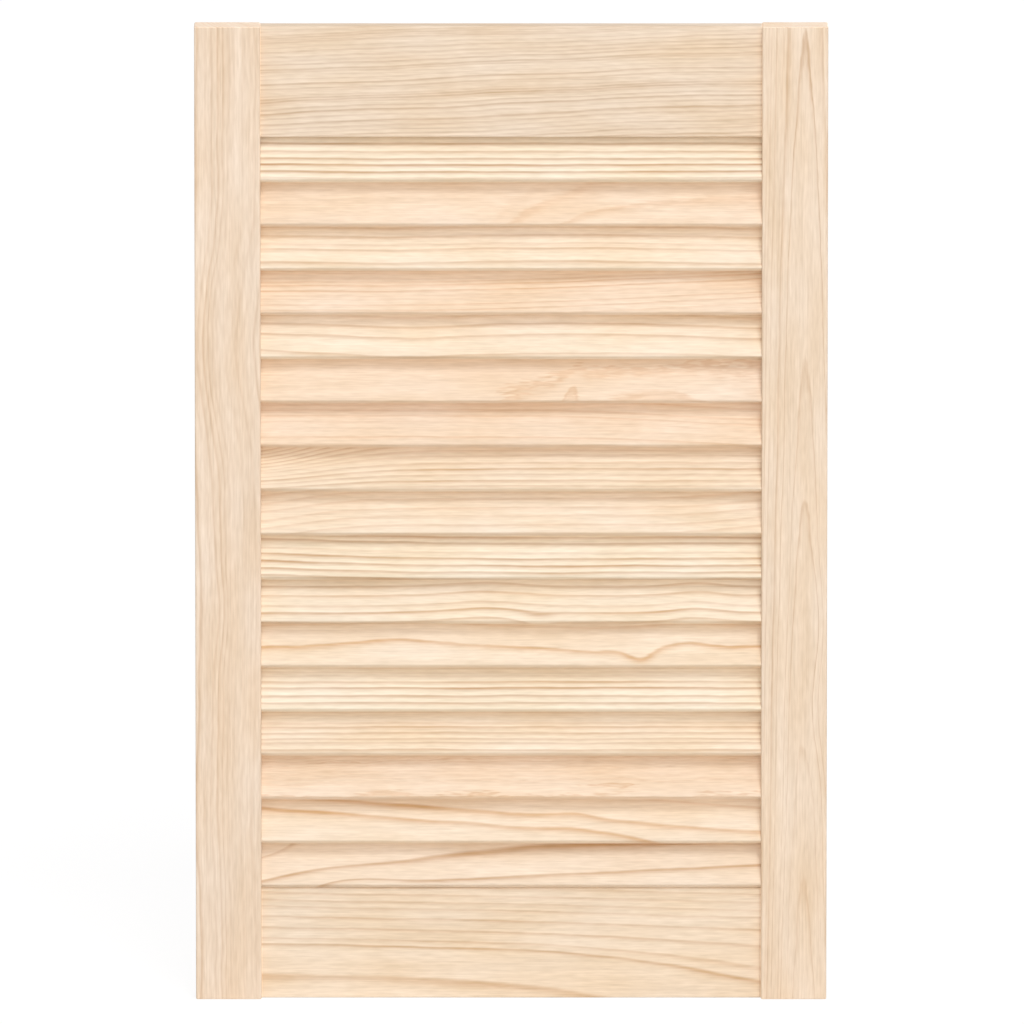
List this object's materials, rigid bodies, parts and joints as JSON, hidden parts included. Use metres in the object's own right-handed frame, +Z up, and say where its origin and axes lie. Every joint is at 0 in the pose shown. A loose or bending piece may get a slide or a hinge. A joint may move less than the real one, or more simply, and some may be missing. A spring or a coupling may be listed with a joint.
{
  "type": "louvred cabinet door",
  "caption": "Louvred cabinet door in bare pine: uprights and set-back rails dowelled at the corners, with fixed tilted slats housed in the uprights to let air through.",
  "frame": {"origin": "middle of the door's foot, half way through the thickness of the stiles", "axes": "+Z up, the front faces -Y, +X to the right seen from the front"},
  "size_m": [0.394, 0.021, 0.615],
  "materials": {
    "stile_pine": "bare sanded pine, knot-free",
    "rail_pine": "bare sanded pine, knot-free",
    "slat_pine": "bare sanded pine, knot-free",
    "dowel_beech": "bare turned beech"
  },
  "bodies": {
    "root": {"left_stile": "stile_pine", "right_stile": "stile_pine", "top_rail": "rail_pine", "bottom_rail": "rail_pine", "slat_01": "slat_pine", "slat_02": "slat_pine", "slat_03": "slat_pine", "slat_04": "slat_pine", "slat_05": "slat_pine", "slat_06": "slat_pine", "slat_07": "slat_pine", "slat_08": "slat_pine", "slat_09": "slat_pine", "slat_10": "slat_pine", "slat_11": "slat_pine", "slat_12": "slat_pine", "slat_13": "slat_pine", "slat_14": "slat_pine", "slat_15": "slat_pine", "slat_16": "slat_pine", "slat_17": "slat_pine", "left_dowels": "dowel_beech", "right_dowels": "dowel_beech"}
  },
  "joints": []
}
